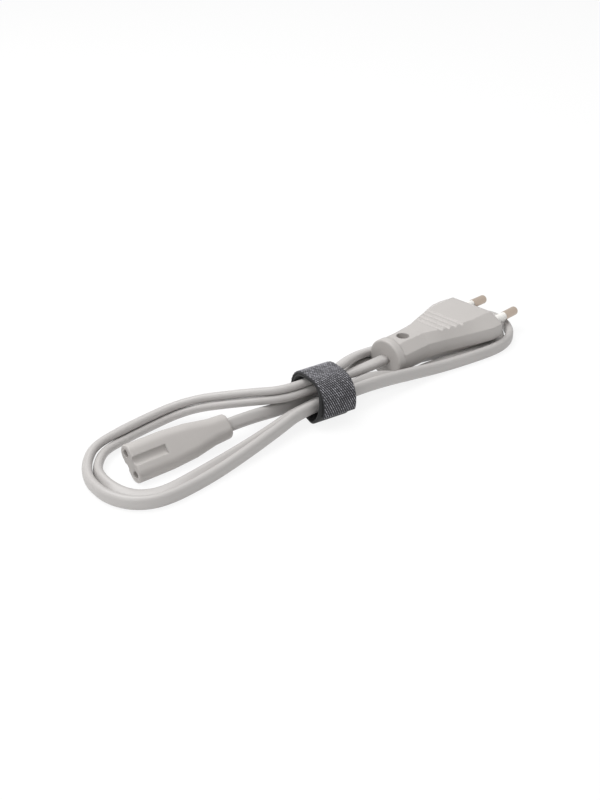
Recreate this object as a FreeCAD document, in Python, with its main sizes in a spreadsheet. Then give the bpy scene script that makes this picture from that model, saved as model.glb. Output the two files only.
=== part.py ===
"""Mains lead with a figure-eight connector, a flat two-pin plug and a hook-and-loop tie.

The lead lies on a table as a hank of two turns. Millimetres, +Z up, +X along the hank towards the
plug's pins, +Y away from the side the connector's open face is seen from, Z = 0 at the table.
The connector's own axis starts at its open face and runs to its cord end. The plug's own axis
starts at the face that the pins leave and runs, at negative X, to its cord end.
"""
import FreeCAD, Part
import Sketcher
import math
import os

Vector = FreeCAD.Vector
Placement = FreeCAD.Placement
Rotation = FreeCAD.Rotation
Constraint = Sketcher.Constraint

doc = FreeCAD.newDocument("figure_eight_lead")

# Driving dimensions
SIZES = {
    "connector_width": 15.2,
    "connector_thickness": 7.6,
    "connector_length": 43.0,
    "nose_length": 15.5,
    "grip_station": 26.0,
    "grip_width": 13.8,
    "grip_thickness": 8.0,
    "taper_station": 35.5,
    "taper_width": 10.6,
    "taper_thickness": 7.7,
    "rear_width": 9.8,
    "rear_thickness": 7.4,
    "rear_edge_round": 1.0,
    "nose_edge_round": 0.5,
    "notch_radius": 1.9,
    "notch_depth": 1.2,
    "notch_length": 14.0,
    "contact_spacing": 8.6,
    "entry_hole_diameter": 3.0,
    "carrier_setback": 2.0,
    "carrier_length": 16.0,
    "carrier_wall": 0.3,
    "carrier_thickness": 4.0,
    "contact_setback": 3.0,
    "contact_diameter": 3.2,
    "contact_bore": 2.4,
    "contact_bore_depth": 12.5,
    "crimp_length": 6.0,
    "crimp_diameter": 2.8,
    "core_diameter": 2.2,
    "core_spacing": 2.5,
    "core_gap": 0.04,
    "connector_face_x": -100.45,
    "connector_face_y": 10.8,
    "connector_yaw": -4.9,
    "connector_roll": 47.0,
    "plug_width": 34.6,
    "plug_thickness": 13.7,
    "plug_top_flat": 21.0,
    "plug_side_flat": 5.6,
    "block_length": 7.5,
    "front_edge_round": 3.0,
    "shoulder_station": 13.0,
    "shoulder_width": 31.8,
    "flare_station": 21.4,
    "flare_width": 26.2,
    "flare_top_flat": 19.2,
    "waist_station": 30.4,
    "waist_width": 20.4,
    "waist_top_flat": 14.6,
    "neck_station": 40.0,
    "neck_width": 16.4,
    "neck_thickness": 13.9,
    "neck_top_flat": 8.4,
    "neck_side_flat": 6.4,
    "plug_length": 58.6,
    "collar_diameter": 16.8,
    "collar_thickness": 3.6,
    "collar_edge_round": 0.8,
    "rib_groove_radius": 1.0,
    "rib_groove_depth": 0.6,
    "rib_groove_length": 30.0,
    "rib_groove_pitch": 3.4,
    "rib_groove_count": 4,
    "rib_start": 20.9,
    "neck_pocket_diameter": 5.4,
    "neck_pocket_depth": 3.2,
    "neck_pocket_station": 47.5,
    "pin_spacing": 18.6,
    "pin_tip_spacing": 17.5,
    "pin_diameter": 4.0,
    "pin_length": 19.0,
    "pin_tip_round": 1.4,
    "pin_shank_diameter": 3.0,
    "pin_tail": 11.5,
    "sleeve_diameter": 3.8,
    "sleeve_length": 10.0,
    "sleeve_tail": 6.0,
    "bridge_setback": 1.6,
    "bridge_length": 9.9,
    "bridge_width": 25.6,
    "bridge_thickness": 7.6,
    "plug_face_x": 82.0,
    "plug_axis_y": 0.0,
    "cord_width": 5.4,
    "cord_thickness": 3.4,
    "cord_edge": 1.0,
    "cord_lead": 10.0,
    "strap_width": 16.0,
    "strap_thickness": 1.1,
    "strap_skew": 2.2,
    "strap_bite": 0.3,
    "strap_end_height": 4.2,
    "tie_inner_width": 21.4,
    "tie_inner_height": 16.4,
    "tie_corner_radius": 7.5,
    "tie_x": -18.4,
    "tie_y": -3.5,
    "tie_yaw": -5.0,
}

sheet = doc.addObject("Spreadsheet::Sheet", "Sizes")
for row, (alias, value) in enumerate(SIZES.items(), start=1):
    sheet.set("A%d" % row, alias)
    sheet.set("B%d" % row, str(value))
    sheet.setAlias("B%d" % row, alias)
doc.recompute()


def size(alias):
    """The value of one driving dimension."""
    return float(sheet.get(alias))


def sized(words):
    """An expression on the sheet's cells, with each alias written as a plain word."""
    out = []
    for word in words.split():
        out.append("Sizes." + word if word in SIZES else word)
    return " ".join(out)


def bind(obj, target, words):
    obj.setExpression(target, sized(words))


def new_body(label):
    body = doc.addObject("PartDesign::Body", label)
    body.Label = label
    return body


def sketch_on(body, name, role, station):
    """An empty sketch on an origin plane of the body, moved along the plane's normal."""
    sketch = body.newObject("Sketcher::SketchObject", name)
    plane = [p for p in body.Origin.OriginFeatures if p.Role == role][0]
    sketch.AttachmentSupport = [(plane, "")]
    sketch.MapMode = "FlatFace"
    bind(sketch, "AttachmentOffset.Base.z", station)
    return sketch


def drive(sketch, constraint, words):
    """Add a dimension to a sketch and tie it to the sheet."""
    index = sketch.addConstraint(constraint)
    bind(sketch, "Constraints[%d]" % index, words)


def circle(sketch, radius, across="0", up="0"):
    """A circle whose radius and centre follow the sheet."""
    index = sketch.addGeometry(Part.Circle(Vector(1, 1, 0), Vector(0, 0, 1), 1.0))
    drive(sketch, Constraint("Radius", index, 1.0), radius)
    drive(sketch, Constraint("DistanceX", -1, 1, index, 3, 1.0), across)
    drive(sketch, Constraint("DistanceY", -1, 1, index, 3, 1.0), up)


def stadium(sketch, width, thickness):
    """Two straight sides joined by half circles, centred on the sketch's origin."""
    half, end = 4.0, 3.0
    right = Part.ArcOfCircle(Part.Circle(Vector(half, 0, 0), Vector(0, 0, 1), end), -math.pi / 2, math.pi / 2)
    left = Part.ArcOfCircle(Part.Circle(Vector(-half, 0, 0), Vector(0, 0, 1), end), math.pi / 2, math.pi * 1.5)
    sketch.addGeometry(Part.LineSegment(Vector(-half, end, 0), Vector(half, end, 0)))
    sketch.addGeometry(right)
    sketch.addGeometry(Part.LineSegment(Vector(half, -end, 0), Vector(-half, -end, 0)))
    sketch.addGeometry(left)
    for first, first_end, second, second_end in ((0, 2, 1, 2), (1, 1, 2, 1), (2, 2, 3, 2), (3, 1, 0, 1)):
        sketch.addConstraint(Constraint("Tangent", first, first_end, second, second_end))
    sketch.addConstraint(Constraint("Horizontal", 0))
    sketch.addConstraint(Constraint("Symmetric", 1, 3, 3, 3, -1, 1))
    sketch.addConstraint(Constraint("PointOnObject", 1, 3, -1))
    drive(sketch, Constraint("Radius", 1, end), "( %s ) / 2" % thickness)
    drive(sketch, Constraint("DistanceX", 3, 3, 1, 3, 2 * half), "%s - ( %s )" % (width, thickness))


def octagon(sketch, width, thickness, top_flat, side_flat):
    """A flat eight-sided outline, the same on all four quarters."""
    w, t, f, s = 8.0, 6.0, 5.0, 3.0
    corners = [(f, t), (w, s), (w, -s), (f, -t), (-f, -t), (-w, -s), (-w, s), (-f, t)]
    for index, corner in enumerate(corners):
        following = corners[(index + 1) % 8]
        sketch.addGeometry(Part.LineSegment(Vector(*corner, 0), Vector(*following, 0)))
    for index in range(8):
        sketch.addConstraint(Constraint("Coincident", index, 2, (index + 1) % 8, 1))
    for first, second, axis in ((7, 0, -2), (6, 1, -2), (0, 3, -1), (7, 4, -1), (1, 2, -1), (6, 5, -1)):
        sketch.addConstraint(Constraint("Symmetric", first, 1, second, 1, axis))
    drive(sketch, Constraint("DistanceX", 7, 1, 0, 1, 2 * f), top_flat)
    drive(sketch, Constraint("DistanceX", 6, 1, 1, 1, 2 * w), width)
    drive(sketch, Constraint("DistanceY", 3, 1, 0, 1, 2 * t), thickness)
    drive(sketch, Constraint("DistanceY", 2, 1, 1, 1, 2 * s), side_flat)


def rounded_rectangle(sketch, width, height, radius, lift):
    """A rectangle with round corners, centred across, its lower side at lift."""
    base = sketch.GeometryCount
    w, t, r = 10.0, 8.0, 2.0
    centres = [(w - r, t - r), (-w + r, t - r), (-w + r, -t + r), (w - r, -t + r)]
    for index, (cx, cy) in enumerate(centres):
        start = index * math.pi / 2
        round_corner = Part.Circle(Vector(cx, cy, 0), Vector(0, 0, 1), r)
        sketch.addGeometry(Part.ArcOfCircle(round_corner, start, start + math.pi / 2))
    sketch.addGeometry(Part.LineSegment(Vector(w - r, t, 0), Vector(-w + r, t, 0)))
    sketch.addGeometry(Part.LineSegment(Vector(-w, t - r, 0), Vector(-w, -t + r, 0)))
    sketch.addGeometry(Part.LineSegment(Vector(-w + r, -t, 0), Vector(w - r, -t, 0)))
    sketch.addGeometry(Part.LineSegment(Vector(w, -t + r, 0), Vector(w, t - r, 0)))
    for corner in range(4):
        arc, side, following = base + corner, base + corner + 4, base + (corner + 1) % 4
        sketch.addConstraint(Constraint("Tangent", arc, 2, side, 1))
        sketch.addConstraint(Constraint("Tangent", side, 2, following, 1))
    sketch.addConstraint(Constraint("Horizontal", base + 4))
    sketch.addConstraint(Constraint("Vertical", base + 5))
    sketch.addConstraint(Constraint("Horizontal", base + 6))
    sketch.addConstraint(Constraint("Vertical", base + 7))
    sketch.addConstraint(Constraint("Equal", base, base + 2))
    sketch.addConstraint(Constraint("Equal", base, base + 3))
    sketch.addConstraint(Constraint("Symmetric", base, 3, base + 1, 3, -2))
    drive(sketch, Constraint("Radius", base, r), radius)
    between = "%s - 2 * ( %s )"
    drive(sketch, Constraint("DistanceX", base + 1, 3, base, 3, 2 * (w - r)), between % (width, radius))
    drive(sketch, Constraint("DistanceY", base + 2, 3, base + 1, 3, 2 * (t - r)), between % (height, radius))
    drive(sketch, Constraint("DistanceY", -1, 1, base + 2, 3, t), "%s + %s" % (lift, radius))


def rectangle(sketch, half_width, low, high):
    """A plain rectangle, centred across, between two heights."""
    corners = [(-4.0, -3.0), (4.0, -3.0), (4.0, 3.0), (-4.0, 3.0)]
    for index, corner in enumerate(corners):
        following = corners[(index + 1) % 4]
        sketch.addGeometry(Part.LineSegment(Vector(*corner, 0), Vector(*following, 0)))
    for index in range(4):
        sketch.addConstraint(Constraint("Coincident", index, 2, (index + 1) % 4, 1))
    sketch.addConstraint(Constraint("Vertical", 1))
    sketch.addConstraint(Constraint("Vertical", 3))
    sketch.addConstraint(Constraint("Symmetric", 0, 1, 0, 2, -2))
    sketch.addConstraint(Constraint("Horizontal", 2))
    drive(sketch, Constraint("DistanceX", -1, 1, 0, 2, 4.0), half_width)
    drive(sketch, Constraint("DistanceY", -1, 1, 0, 2, -3.0), low)
    drive(sketch, Constraint("DistanceY", -1, 1, 2, 1, 3.0), high)


def extrude(body, kind, name, sketch, length):
    """A Pad or a Pocket that runs from its sketch towards +X."""
    feature = body.newObject("PartDesign::" + kind, name)
    feature.Profile = sketch
    feature.Reversed = kind == "Pocket"
    bind(feature, "Length", length)
    return feature


def loft(body, name, sketches):
    """Straight-ruled bands from each outline to the next."""
    feature = body.newObject("PartDesign::AdditiveLoft", name)
    feature.Profile = sketches[0]
    feature.Sections = sketches[1:]
    feature.Ruled = True
    return feature


def round_edges(body, name, feature, radius, wanted):
    """Fillet the edges of a feature that the test picks by their middle points."""
    doc.recompute()
    names = []
    for index, edge in enumerate(feature.Shape.Edges, start=1):
        middle = edge.valueAt((edge.FirstParameter + edge.LastParameter) / 2)
        if wanted(edge, middle):
            names.append("Edge%d" % index)
    fillet = body.newObject("PartDesign::Fillet", name)
    fillet.Base = (feature, names)
    bind(fillet, "Radius", radius)
    return fillet


def place(obj, x, y, z):
    bind(obj, "Placement.Base.x", x)
    bind(obj, "Placement.Base.y", y)
    bind(obj, "Placement.Base.z", z)


def fused(label, shapes):
    tool = doc.addObject("Part::MultiFuse", label)
    tool.Shapes = shapes
    return tool


def cut(label, base, tool):
    result = doc.addObject("Part::Cut", label)
    result.Label = label
    result.Base = base
    result.Tool = tool
    return result


SIDES = {"near": "-1", "far": "1"}
CORE_COLOURS = {"near": "brown", "far": "blue"}
NEAR_ZERO = 0.01


# Figure-eight connector, in its own frame: open face at x = 0, cord end at x = connector_length
CONNECTOR_HEIGHT = ("( connector_width - connector_thickness ) / 2 * sin( connector_roll * 1 deg )"
                    " + connector_thickness / 2")
CARRIER_WIDTH = "( contact_spacing + contact_diameter + 2 * carrier_wall )"
CARRIER_END = "carrier_setback + carrier_length"
CRIMP_END = CARRIER_END + " + crimp_length"


def place_connector(obj):
    turn = Rotation(size("connector_yaw"), 0, size("connector_roll"))
    obj.Placement = Placement(Vector(), turn)
    place(obj, "connector_face_x", "connector_face_y", CONNECTOR_HEIGHT)


def connector_shell():
    body = new_body("connector_shell")
    nose = sketch_on(body, "nose_outline", "YZ_Plane", "0")
    stadium(nose, "connector_width", "connector_thickness")
    extrude(body, "Pad", "nose", nose, "nose_length")
    stations = (
        ("shoulder", "nose_length", "connector_width", "connector_thickness"),
        ("grip", "grip_station", "grip_width", "grip_thickness"),
        ("taper", "taper_station", "taper_width", "taper_thickness"),
        ("rear", "connector_length", "rear_width", "rear_thickness"),
    )
    outlines = []
    for name, station, width, thickness in stations:
        outline = sketch_on(body, name + "_outline", "YZ_Plane", station)
        stadium(outline, width, thickness)
        outlines.append(outline)
    handle = loft(body, "handle", outlines)
    rear_x = size("connector_length")
    rear = round_edges(body, "rear_round", handle, "rear_edge_round",
                       lambda edge, middle: abs(middle.x - rear_x) < NEAR_ZERO)
    round_edges(body, "nose_round", rear, "nose_edge_round",
                lambda edge, middle: abs(middle.x) < NEAR_ZERO)
    for name, sign in (("upper", "1"), ("lower", "-1")):
        notch = sketch_on(body, name + "_notch_outline", "YZ_Plane", "0")
        circle(notch, "notch_radius", up=sign + " * ( connector_thickness / 2 + notch_radius - notch_depth )")
        extrude(body, "Pocket", name + "_notch", notch, "notch_length")
    entries = sketch_on(body, "entry_outline", "YZ_Plane", "0")
    for sign in SIDES.values():
        circle(entries, "entry_hole_diameter / 2", across=sign + " * contact_spacing / 2")
    extrude(body, "Pocket", "entry_holes", entries, "carrier_setback")
    seat = sketch_on(body, "carrier_seat_outline", "YZ_Plane", "carrier_setback")
    stadium(seat, CARRIER_WIDTH, "carrier_thickness")
    extrude(body, "Pocket", "carrier_seat", seat, "carrier_length")
    place_connector(body)
    return body


def contact_carrier():
    body = new_body("connector_contact_carrier")
    outline = sketch_on(body, "carrier_outline", "YZ_Plane", "carrier_setback")
    stadium(outline, CARRIER_WIDTH, "carrier_thickness")
    extrude(body, "Pad", "carrier", outline, "carrier_length")
    entries = sketch_on(body, "carrier_entry_outline", "YZ_Plane", "carrier_setback")
    seats = sketch_on(body, "contact_seat_outline", "YZ_Plane", "contact_setback")
    for sign in SIDES.values():
        circle(entries, "entry_hole_diameter / 2", across=sign + " * contact_spacing / 2")
        circle(seats, "contact_diameter / 2", across=sign + " * contact_spacing / 2")
    extrude(body, "Pocket", "carrier_entries", entries, "contact_setback - carrier_setback")
    extrude(body, "Pocket", "contact_seats", seats, CARRIER_END + " - contact_setback")
    place_connector(body)
    return body


def contact(side, sign):
    """A turned brass socket with a crimped tail."""
    middle = sign + " * contact_spacing / 2"
    body = new_body("connector_contact_" + side)
    barrel = sketch_on(body, "barrel_outline", "YZ_Plane", "contact_setback")
    circle(barrel, "contact_diameter / 2", across=middle)
    extrude(body, "Pad", "barrel", barrel, CARRIER_END + " - contact_setback")
    crimp = sketch_on(body, "crimp_outline", "YZ_Plane", CARRIER_END)
    circle(crimp, "crimp_diameter / 2", across=middle)
    extrude(body, "Pad", "crimp", crimp, "crimp_length")
    bore = sketch_on(body, "bore_outline", "YZ_Plane", "contact_setback")
    circle(bore, "contact_bore / 2", across=middle)
    extrude(body, "Pocket", "bore", bore, "contact_bore_depth")
    place_connector(body)
    return body


def connector_core(side, sign):
    """One insulated core, from the cord's end to its crimp."""
    body = new_body("connector_core_" + CORE_COLOURS[side])
    start = sketch_on(body, "crimp_end", "YZ_Plane", CRIMP_END)
    circle(start, "core_diameter / 2", across=sign + " * contact_spacing / 2")
    end = sketch_on(body, "cord_end", "YZ_Plane", "connector_length")
    circle(end, "core_diameter / 2", across=sign + " * core_spacing / 2")
    loft(body, "core", [start, end])
    place_connector(body)
    return body


# Two-pin plug, in its own frame: pins leave the face at x = 0, cord end at x = -plug_length
AXIS_HEIGHT = "collar_diameter / 2"
PIN_LEAN = "atan( ( pin_spacing - pin_tip_spacing ) / 2 / pin_length )"
TAIL_END = "pin_tail + crimp_length"


def place_plug(obj, across="0"):
    place(obj, "plug_face_x", "plug_axis_y + " + across, AXIS_HEIGHT)


def plug_shell():
    body = new_body("plug_shell")
    stations = (
        ("front", "0", "plug_width", "plug_thickness", "plug_top_flat", "plug_side_flat"),
        ("block", "- block_length", "plug_width", "plug_thickness", "plug_top_flat", "plug_side_flat"),
        ("shoulder", "- shoulder_station", "shoulder_width", "plug_thickness", "plug_top_flat", "plug_side_flat"),
        ("flare", "- flare_station", "flare_width", "plug_thickness", "flare_top_flat", "plug_side_flat"),
        ("waist", "- waist_station", "waist_width", "plug_thickness", "waist_top_flat", "plug_side_flat"),
        ("neck", "- neck_station", "neck_width", "neck_thickness", "neck_top_flat", "neck_side_flat"),
        ("tail", "- plug_length + collar_thickness", "neck_width", "neck_thickness",
         "neck_top_flat", "neck_side_flat"),
    )
    outlines = []
    for name, station, width, thickness, top_flat, side_flat in stations:
        outline = sketch_on(body, name + "_outline", "YZ_Plane", station)
        octagon(outline, width, thickness, top_flat, side_flat)
        outlines.append(outline)
    grip = loft(body, "grip", outlines)
    round_edges(body, "front_round", grip, "front_edge_round",
                lambda edge, middle: abs(middle.x) < NEAR_ZERO)
    collar_outline = sketch_on(body, "collar_outline", "YZ_Plane", "- plug_length")
    circle(collar_outline, "collar_diameter / 2")
    collar = extrude(body, "Pad", "collar", collar_outline, "collar_thickness")
    end_x = -size("plug_length")
    round_edges(body, "collar_round", collar, "collar_edge_round",
                lambda edge, middle: abs(middle.x - end_x) < NEAR_ZERO)
    for face, sign in (("top", "1"), ("bottom", "-1")):
        groove = sketch_on(body, face + "_groove_outline", "XZ_Plane", "- rib_groove_length / 2")
        for index in range(int(size("rib_groove_count"))):
            circle(groove, "rib_groove_radius",
                   across="- rib_start - %d * rib_groove_pitch" % index,
                   up=sign + " * ( plug_thickness / 2 + rib_groove_radius - rib_groove_depth )")
        extrude(body, "Pocket", face + "_grooves", groove, "rib_groove_length")
        mouth = sketch_on(body, face + "_neck_pocket_outline", "XY_Plane", sign + " * neck_thickness / 2")
        circle(mouth, "neck_pocket_diameter / 2", across="- neck_pocket_station")
        pocket = extrude(body, "Pocket", face + "_neck_pocket", mouth, "neck_pocket_depth")
        pocket.Reversed = face == "bottom"
    place_plug(body)
    return body


def pin_bridge():
    body = new_body("pin_bridge_form")
    outline = sketch_on(body, "bridge_outline", "YZ_Plane", "- bridge_setback - bridge_length")
    stadium(outline, "bridge_width", "bridge_thickness")
    extrude(body, "Pad", "bridge", outline, "bridge_length")
    place_plug(body)
    return body


def lean(obj, sign):
    """Turn a pin, or its sleeve, in towards the plug's middle and set it on the plug's face."""
    obj.Placement = Placement(Vector(), Rotation(Vector(0, 0, -1 if sign == "1" else 1), 1))
    place_plug(obj, sign + " * pin_spacing / 2")
    bind(obj, "Placement.Rotation.Angle", PIN_LEAN)


def plug_pin(side, sign):
    """A turned pin: crimped tail, thin shank under the sleeve, full-size bare end."""
    body = new_body("plug_pin_" + side)
    shank = sketch_on(body, "shank_outline", "YZ_Plane", "- pin_tail")
    circle(shank, "pin_shank_diameter / 2")
    extrude(body, "Pad", "shank", shank, "pin_tail + sleeve_length")
    crimp = sketch_on(body, "crimp_outline", "YZ_Plane", "- ( " + TAIL_END + " )")
    circle(crimp, "crimp_diameter / 2")
    extrude(body, "Pad", "crimp", crimp, "crimp_length")
    bare = sketch_on(body, "bare_outline", "YZ_Plane", "sleeve_length")
    circle(bare, "pin_diameter / 2")
    end = extrude(body, "Pad", "bare_end", bare, "pin_length - sleeve_length")
    tip_x = size("pin_length")
    round_edges(body, "tip_round", end, "pin_tip_round",
                lambda edge, middle: abs(middle.x - tip_x) < NEAR_ZERO)
    lean(body, sign)
    return body


def pin_sleeve(side, sign):
    body = new_body("pin_sleeve_" + side)
    ring = sketch_on(body, "sleeve_outline", "YZ_Plane", "- sleeve_tail")
    circle(ring, "sleeve_diameter / 2")
    circle(ring, "pin_shank_diameter / 2")
    extrude(body, "Pad", "sleeve", ring, "sleeve_tail + sleeve_length")
    lean(body, sign)
    return body


def plug_core(side, sign):
    """One insulated core, from its crimp to the cord's end."""
    body = new_body("plug_core_" + CORE_COLOURS[side])
    start = sketch_on(body, "crimp_end", "YZ_Plane", "- ( " + TAIL_END + " ) - core_gap")
    splay = "( pin_spacing - pin_tip_spacing ) / 2 * ( " + TAIL_END + " ) / pin_length"
    circle(start, "core_diameter / 2", across=sign + " * ( pin_spacing / 2 + " + splay + " )")
    end = sketch_on(body, "cord_end", "YZ_Plane", "- plug_length")
    circle(end, "core_diameter / 2", across=sign + " * core_spacing / 2")
    loft(body, "core", [start, end])
    place_plug(body)
    return body


# Woven hook-and-loop tie, in its own frame: strap across X, its loop standing on the table
LOOP_WIDTH = "( tie_inner_width + 2 * strap_thickness )"
LOOP_HEIGHT = "( tie_inner_height + 2 * strap_thickness )"
LOOP_RADIUS = "( tie_corner_radius + strap_thickness )"


def tie_strap():
    """The strap's first turn round the strands, and its free end laid askew over that turn."""
    body = new_body("tie_strap")
    lap = sketch_on(body, "lap_outline", "YZ_Plane", "- strap_width / 2 + strap_skew")
    rounded_rectangle(lap, LOOP_WIDTH + " + 2 * strap_thickness", LOOP_HEIGHT + " + 2 * strap_thickness",
                      "( " + LOOP_RADIUS + " + strap_thickness )", "- strap_thickness")
    rounded_rectangle(lap, LOOP_WIDTH + " - 2 * strap_bite", LOOP_HEIGHT + " - 2 * strap_bite",
                      "( " + LOOP_RADIUS + " - strap_bite )", "strap_bite")
    extrude(body, "Pad", "lap", lap, "strap_width")
    under = sketch_on(body, "under_outline", "YZ_Plane", "- strap_width / 2")
    rectangle(under, LOOP_WIDTH, "- tie_inner_height", "strap_end_height")
    extrude(body, "Pocket", "under", under, "2 * strap_width")
    ring = sketch_on(body, "loop_outline", "YZ_Plane", "- strap_width / 2")
    rounded_rectangle(ring, LOOP_WIDTH, LOOP_HEIGHT, LOOP_RADIUS, "0")
    rounded_rectangle(ring, "tie_inner_width", "tie_inner_height", "tie_corner_radius", "strap_thickness")
    extrude(body, "Pad", "loop", ring, "strap_width")
    body.Placement = Placement(Vector(), Rotation(Vector(0, 0, 1), 1))
    place(body, "tie_x", "tie_y", "0")
    bind(body, "Placement.Rotation.Angle", "tie_yaw")
    return body


# Cord: one hand-laid route from the connector, twice round the hank, to the plug
ROUTE = [
    (-29.9, 2.0, 7.6), (-6.1, -0.1, 7.6), (10.0, 8.0, 4.6), (26.0, 14.2, 2.9), (44.0, 19.0, 2.7),
    (61.0, 20.9, 2.7), (77.2, 22.9, 2.7), (89.2, 18.6, 2.7), (96.3, 9.6, 2.7), (98.6, -0.6, 2.7),
    (96.2, -10.2, 2.7), (89.2, -18.8, 2.7), (77.2, -22.9, 2.7), (61.0, -20.6, 2.7), (43.0, -16.6, 2.7),
    (25.0, -14.1, 3.6), (9.0, -12.2, 5.4), (-7.0, -10.7, 7.4), (-30.9, -8.6, 5.2), (-43.0, -12.7, 3.6),
    (-58.3, -15.6, 2.7), (-74.8, -17.7, 2.7), (-88.2, -17.0, 2.7), (-99.8, -14.0, 2.7), (-109.2, -8.8, 2.7),
    (-116.0, -2.2, 2.7), (-118.7, 6.0, 2.7), (-118.4, 14.2, 2.7), (-114.2, 23.2, 2.7), (-101.0, 30.4, 2.7),
    (-86.6, 34.4, 2.7), (-72.6, 35.4, 3.0), (-62.0, 32.4, 4.5), (-53.9, 27.0, 6.8), (-47.9, 20.2, 8.8),
    (-40.9, 11.6, 11.0), (-29.9, 2.5, 13.8), (-6.0, 0.4, 13.8), (9.0, 6.2, 12.6), (25.0, 11.0, 9.6),
    (42.0, 13.8, 4.6), (60.0, 17.0, 2.8), (76.6, 19.0, 2.7), (86.6, 15.2, 2.7), (92.5, 7.2, 2.7),
    (94.7, -1.0, 2.7), (92.4, -8.2, 2.7), (86.6, -15.3, 2.7), (76.6, -19.0, 2.7), (61.0, -16.8, 2.7),
    (43.5, -12.8, 2.7), (25.0, -10.3, 2.9), (9.0, -8.3, 3.6), (-6.7, -7.1, 4.2), (-30.6, -5.0, 4.4),
    (-43.4, -8.9, 3.4), (-58.8, -11.8, 2.7), (-74.6, -13.9, 2.7), (-87.6, -13.3, 2.7), (-98.0, -10.6, 2.7),
    (-106.6, -6.0, 2.7), (-112.3, -0.6, 2.7), (-114.9, 6.2, 2.7), (-114.6, 13.0, 2.7), (-111.0, 20.4, 2.7),
    (-99.5, 26.6, 2.7), (-86.0, 30.6, 2.7), (-74.0, 31.4, 2.9), (-64.4, 28.8, 4.2), (-56.8, 23.8, 6.4),
    (-50.7, 17.0, 8.6), (-43.6, 8.6, 11.0), (-30.3, -1.5, 13.8), (-6.4, -3.5, 13.8),
]
ROUND_SHARE = 0.45


def cord_route(connector):
    """The hand-laid points, with the two ends taken from the mouldings the cord enters."""
    rear = connector.Placement.multVec(Vector(size("connector_length"), 0, 0))
    ahead = connector.Placement.multVec(Vector(size("connector_length") + size("cord_lead"), 0, 0))
    height = size("collar_diameter") / 2
    end = Vector(size("plug_face_x") - size("plug_length"), size("plug_axis_y"), height)
    before = end - Vector(size("cord_lead"), 0, 0)
    return [rear, ahead] + [Vector(*point) for point in ROUTE] + [before, end]


def cord_path(points):
    """Straight runs joined by tangent arcs."""
    edges = []
    radii = []
    here = points[0]
    for index in range(1, len(points) - 1):
        corner = points[index]
        back = points[index - 1] - corner
        ahead = points[index + 1] - corner
        shorter = min(back.Length, ahead.Length)
        back.normalize()
        ahead.normalize()
        half_turn = (math.pi - back.getAngle(ahead)) / 2
        reach = ROUND_SHARE * shorter
        start = corner + back * reach
        finish = corner + ahead * reach
        radius = reach / math.tan(half_turn)
        middle_way = (back + ahead).normalize()
        middle = corner + middle_way * (radius / math.cos(half_turn) - radius)
        edges.append(Part.makeLine(here, start))
        edges.append(Part.Arc(start, middle, finish).toShape())
        radii.append(radius)
        here = finish
    edges.append(Part.makeLine(here, points[-1]))
    return Part.Wire(edges), radii


def cord_section(at, along):
    """The flat cord's eight-sided outline, standing on edge across the route's start."""
    side = Vector(0, 0, 1).cross(along).normalize()
    up = Vector(0, 0, 1)
    half = size("cord_thickness") / 2
    rise = size("cord_width") / 2
    edge = size("cord_edge")
    quarter = [(half, rise - edge), (half - edge, rise)]
    corners = quarter + [(-across, high) for across, high in reversed(quarter)]
    corners += [(-across, -high) for across, high in corners]
    return Part.makePolygon([at + side * across + up * high for across, high in corners + corners[:1]])


def cord(connector):
    points = cord_route(connector)
    route, radii = cord_path(points)
    section = cord_section(points[0], points[1] - points[0])
    pipe = Part.BRepOffsetAPI.MakePipeShell(route)
    pipe.setBiNormalMode(Vector(0, 0, 1))
    pipe.add(section)
    pipe.build()
    pipe.makeSolid()
    piece = doc.addObject("Part::Feature", "cord")
    piece.Label = "cord"
    piece.Shape = pipe.shape()
    piece.Placement = Placement(Vector(), Rotation())
    area = Part.Face(section).Area
    print("cord length %.1f mm, smallest radius %.1f mm" % (route.Length, min(radii)))
    print("cord radii", " ".join("%.0f" % radius for radius in radii))
    print("cord volume %.0f mm3, section times length %.0f mm3" % (piece.Shape.Volume, area * route.Length))
    return piece


connector = connector_shell()
carrier = contact_carrier()
contacts = [contact(side, sign) for side, sign in SIDES.items()]
connector_cores = [connector_core(side, sign) for side, sign in SIDES.items()]
connector_inside = fused("connector_inside", contacts + connector_cores)
connector_body = cut("connector_body", connector, connector_inside)

plug = plug_shell()
bridge = pin_bridge()
pins = [plug_pin(side, sign) for side, sign in SIDES.items()]
sleeves = [pin_sleeve(side, sign) for side, sign in SIDES.items()]
plug_cores = [plug_core(side, sign) for side, sign in SIDES.items()]
held_pins = fused("held_pins", pins + sleeves)
pin_holder = cut("plug_pin_bridge", bridge, held_pins)
plug_inside = fused("plug_inside", [bridge] + pins + sleeves + plug_cores)
plug_body = cut("plug_body", plug, plug_inside)

tie = tie_strap()
doc.recompute()

pieces = [connector_body, carrier, plug_body, pin_holder, tie, cord(connector)]
pieces += contacts + connector_cores + pins + sleeves + plug_cores
doc.recompute()

for obj in doc.Objects:
    if "Invalid" in obj.State or "Error" in obj.State:
        raise RuntimeError("%s does not recompute: %s" % (obj.Name, obj.State))
os.makedirs("parts", exist_ok=True)
for piece in pieces:
    if piece.Shape.isNull() or not piece.Shape.isValid() or len(piece.Shape.Solids) != 1:
        raise RuntimeError("%s has no valid shape" % piece.Label)
    box = piece.Shape.optimalBoundingBox()
    print("%-26s solids %d volume %8.1f  x %7.2f %7.2f  y %7.2f %7.2f  z %6.2f %6.2f" % (
        piece.Label, len(piece.Shape.Solids), piece.Shape.Volume,
        box.XMin, box.XMax, box.YMin, box.YMax, box.ZMin, box.ZMax))
    piece.Shape.exportStep("parts/%s.step" % piece.Label)
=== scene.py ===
import math

import bmesh
import bpy
from bpy.props import FloatProperty, FloatVectorProperty, PointerProperty
from mathutils import Matrix, Vector


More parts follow.
